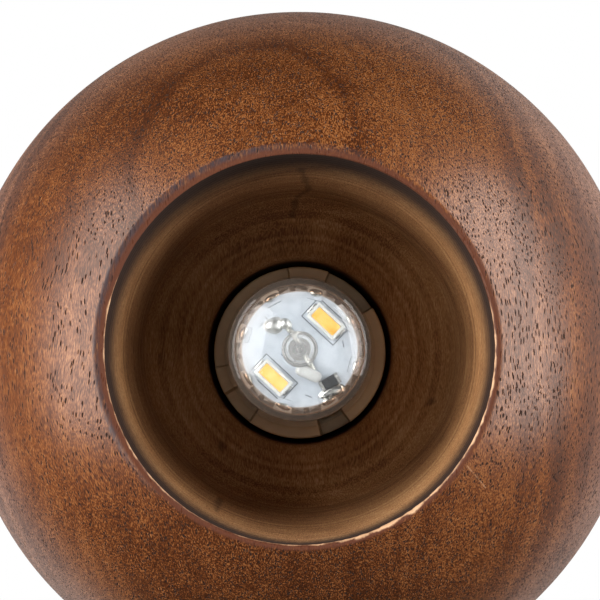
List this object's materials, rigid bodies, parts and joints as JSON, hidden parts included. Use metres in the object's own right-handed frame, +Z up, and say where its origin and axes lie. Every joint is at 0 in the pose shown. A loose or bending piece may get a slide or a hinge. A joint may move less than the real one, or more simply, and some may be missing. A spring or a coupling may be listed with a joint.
{
  "type": "pendant light",
  "caption": "Pendant light: a hollow turned wooden ball on a cord grip, with a screw lampholder and a clear-covered LED bulb inside.",
  "frame": {"origin": "centre of the cord inlet at the top face of the cord grip, where the lamp hangs", "axes": "+Z up along the cord, the mouth of the ball looks down along -Z; +X is to the right and +Y down in the view from below"},
  "size_m": [0.12, 0.12, 0.1333],
  "materials": {
    "stained_wood": "satin stain outside, raw turned wood inside",
    "black_lacquer": "satin black lacquer on turned steel",
    "zinc_steel": "zinc plated",
    "nylon": "moulded",
    "cream_plastic": "moulded thermoplastic",
    "steatite": "fired, unglazed",
    "brass": "pressed sheet",
    "solder": "bright solder",
    "black_glass": "glossy insulator",
    "nickel": "nickel plated",
    "lead_sleeve": "silicone sleeve",
    "green_board": "solder mask on laminate",
    "capacitor_sleeve": "shrink sleeve",
    "black_epoxy": "moulded epoxy",
    "white_plastic": "moulded",
    "white_board": "white solder mask",
    "led_frame": "moulded",
    "led_phosphor": "silicone with phosphor",
    "clear_polycarbonate": "clear, polished mould"
  },
  "bodies": {
    "fixture": {"wood_shade": "stained_wood", "crown_washer": "black_lacquer", "hollow_nipple": "zinc_steel", "lock_washer": "zinc_steel", "lock_nut": "zinc_steel", "cord_grip": "black_lacquer", "holder_dome": "cream_plastic", "dome_lock_screw": "zinc_steel", "holder_insert": "steatite", "screw_shell": "brass", "shell_strap": "brass", "centre_contact": "brass", "contact_rivets": "brass", "terminal_blocks": "brass", "terminal_screws": "zinc_steel", "holder_skirt": "cream_plastic"},
    "bulb_contact": {"cap_tip": "solder"},
    "bulb": {"cap_insulator": "black_glass", "cap_shell": "nickel", "supply_leads": "lead_sleeve", "driver_board": "green_board", "smoothing_capacitor": "capacitor_sleeve", "bridge_rectifier": "black_epoxy", "bulb_base": "white_plastic", "base_deck": "white_plastic", "side_boards": "white_board", "side_led_packages": "led_frame", "side_led_phosphors": "led_phosphor", "column_leads": "lead_sleeve", "top_board": "white_board", "tab_solder": "solder", "lead_solder": "solder", "top_led_packages": "led_frame", "top_led_phosphors": "led_phosphor", "chip_resistor": "black_epoxy", "resistor_ends": "solder", "clear_cover": "clear_polycarbonate"},
    "grip_pad": {"grip_pad": "nylon"},
    "grip_screw": {"grip_screw": "zinc_steel"}
  },
  "joints": [
    {"name": "bulb_advance", "type": "slide", "parent": "fixture", "child": "bulb_contact", "axis": [0, 0, -1], "range_m": [0, 0.01129]},
    {"name": "bulb_turn", "type": "hinge", "parent": "bulb_contact", "child": "bulb", "pos_m": [0, 0, -0.08225], "axis": [0, 0, -1], "range_deg": [0, 1440]},
    {"name": "grip_pad_press", "type": "slide", "parent": "fixture", "child": "grip_pad", "axis": [-1, 0, 0], "range_m": [0, 0.0021]},
    {"name": "grip_screw_turn", "type": "hinge", "parent": "grip_pad", "child": "grip_screw", "pos_m": [0.0065, 0, -0.0065], "axis": [-1, 0, 0], "range_deg": [0, 1080]}
  ],
  "couplings": [
    {"joint": "bulb_advance", "follows": "bulb_turn", "m_per_rad": 0.00044913},
    {"joint": "grip_screw_turn", "follows": "grip_pad_press", "rad_per_m": 8976}
  ]
}
